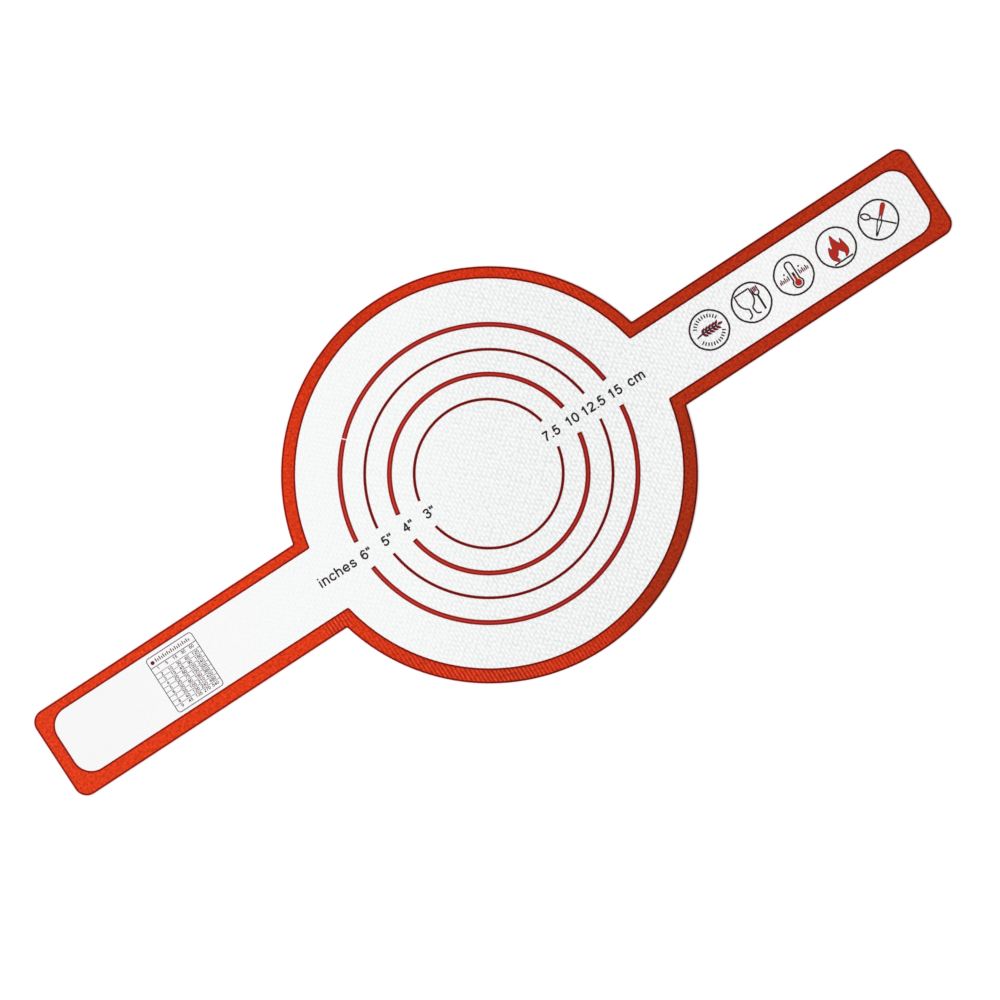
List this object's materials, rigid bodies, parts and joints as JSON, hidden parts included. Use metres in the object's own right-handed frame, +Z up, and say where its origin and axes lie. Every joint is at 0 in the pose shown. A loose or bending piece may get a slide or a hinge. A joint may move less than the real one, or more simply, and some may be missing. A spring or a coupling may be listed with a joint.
{
  "type": "silicone bread sling",
  "caption": "Flat silicone bread sling: a round baking sheet with measuring rings, a red border and lifting straps that fold up at its sides.",
  "frame": {"origin": "centre of the disc on its underside, where the sling lies on a table", "axes": "+X along the right strap, +Y across it to the left of someone looking along +X, +Z up out of the printed face"},
  "size_m": [0.526, 0.21, 0.0008],
  "materials": {
    "white_silicone": "satin silicone coat over a plain weave",
    "glass_cloth": "plain-woven glass fibre",
    "red_silicone": "satin silicone",
    "ring_ink": "raised silicone print"
  },
  "bodies": {
    "disc": {"disc_base_coat": "white_silicone", "disc_glass_cloth": "glass_cloth", "disc_top_coat": "white_silicone", "disc_border_upper": "red_silicone", "disc_border_lower": "red_silicone", "ring_7.5cm_upper": "ring_ink", "ring_7.5cm_lower": "ring_ink", "ring_10cm_upper": "ring_ink", "ring_10cm_lower": "ring_ink", "ring_12.5cm_upper": "ring_ink", "ring_12.5cm_lower": "ring_ink", "ring_15cm_upper": "ring_ink", "ring_15cm_lower": "ring_ink"},
    "right_strap": {"right_strap_base_coat": "white_silicone", "right_strap_glass_cloth": "glass_cloth", "right_strap_top_coat": "white_silicone", "right_strap_border": "red_silicone"},
    "left_strap": {"left_strap_base_coat": "white_silicone", "left_strap_glass_cloth": "glass_cloth", "left_strap_top_coat": "white_silicone", "left_strap_border": "red_silicone"}
  },
  "joints": [
    {"name": "right_strap_fold", "type": "hinge", "parent": "disc", "child": "right_strap", "pos_m": [0.11541, 0, 0.0007], "axis": [0, -1, 0], "range_deg": [0, 90], "stiffness_Nm_per_rad": 0.004},
    {"name": "left_strap_fold", "type": "hinge", "parent": "disc", "child": "left_strap", "pos_m": [-0.11541, 0, 0.0007], "axis": [0, 1, 0], "range_deg": [0, 90], "stiffness_Nm_per_rad": 0.004}
  ]
}
